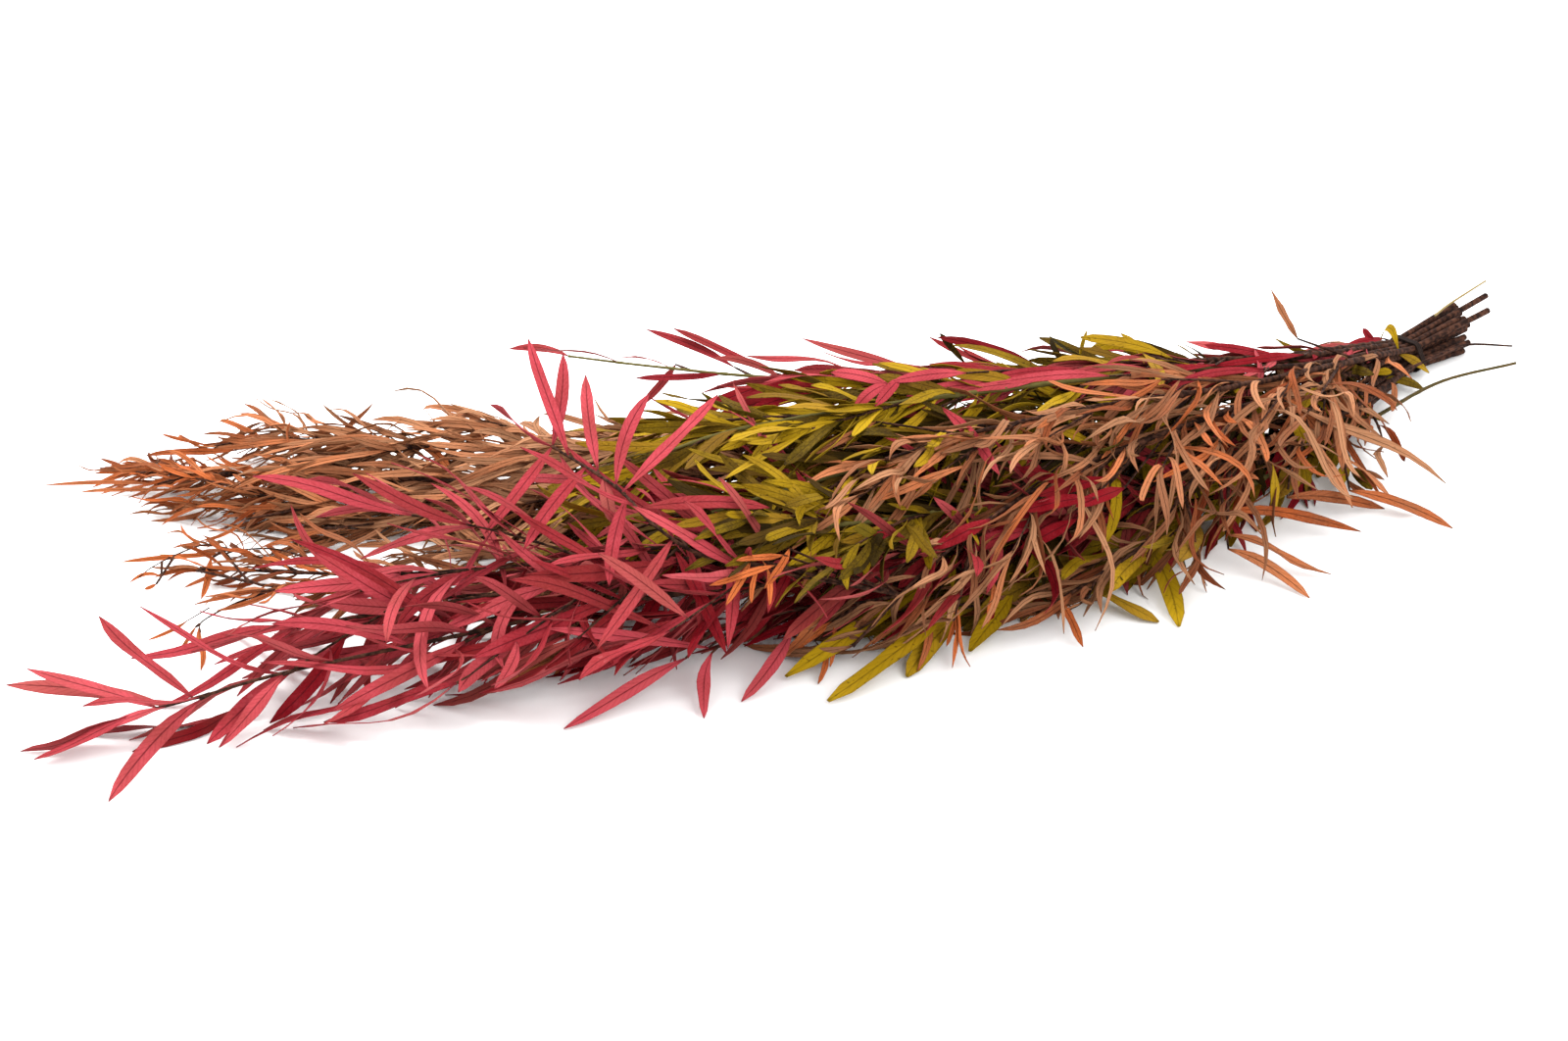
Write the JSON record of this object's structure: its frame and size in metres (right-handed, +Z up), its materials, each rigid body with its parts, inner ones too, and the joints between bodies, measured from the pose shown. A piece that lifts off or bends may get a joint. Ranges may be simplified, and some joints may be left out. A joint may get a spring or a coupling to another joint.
{
  "type": "tied bunch of dried eucalyptus",
  "caption": "Tied bunch of dried, dyed narrow-leaved eucalyptus branches that lies flat, leafy at one end, with bare cut stems at the other.",
  "frame": {"origin": "on the surface that the bunch lies on, under the middle of its outline seen from above", "axes": "+X towards the cut ends of the stems, +Y from the side seen in the picture towards the far side, +Z up"},
  "size_m": [0.7428, 0.323, 0.102],
  "materials": {
    "red_foliage": "dyed dried leaf, dull",
    "copper_foliage": "dyed dried leaf, dull",
    "olive_foliage": "dyed dried leaf, dull",
    "bark": "thin dark bark, dull",
    "tie": "dull"
  },
  "bodies": {
    "root": {"tie_band": "tie", "red_branch_1": "red_foliage", "red_branch_2": "red_foliage", "red_branch_3": "red_foliage", "red_branch_4": "red_foliage", "red_branch_5": "red_foliage", "red_branch_6": "red_foliage", "red_branch_7": "red_foliage", "copper_branch_1": "copper_foliage", "copper_branch_2": "copper_foliage", "copper_branch_3": "copper_foliage", "copper_branch_4": "copper_foliage", "copper_branch_5": "copper_foliage", "copper_branch_6": "copper_foliage", "copper_branch_7": "copper_foliage", "olive_branch_1": "olive_foliage", "olive_branch_2": "olive_foliage", "olive_branch_3": "olive_foliage", "olive_branch_4": "olive_foliage"}
  },
  "joints": []
}
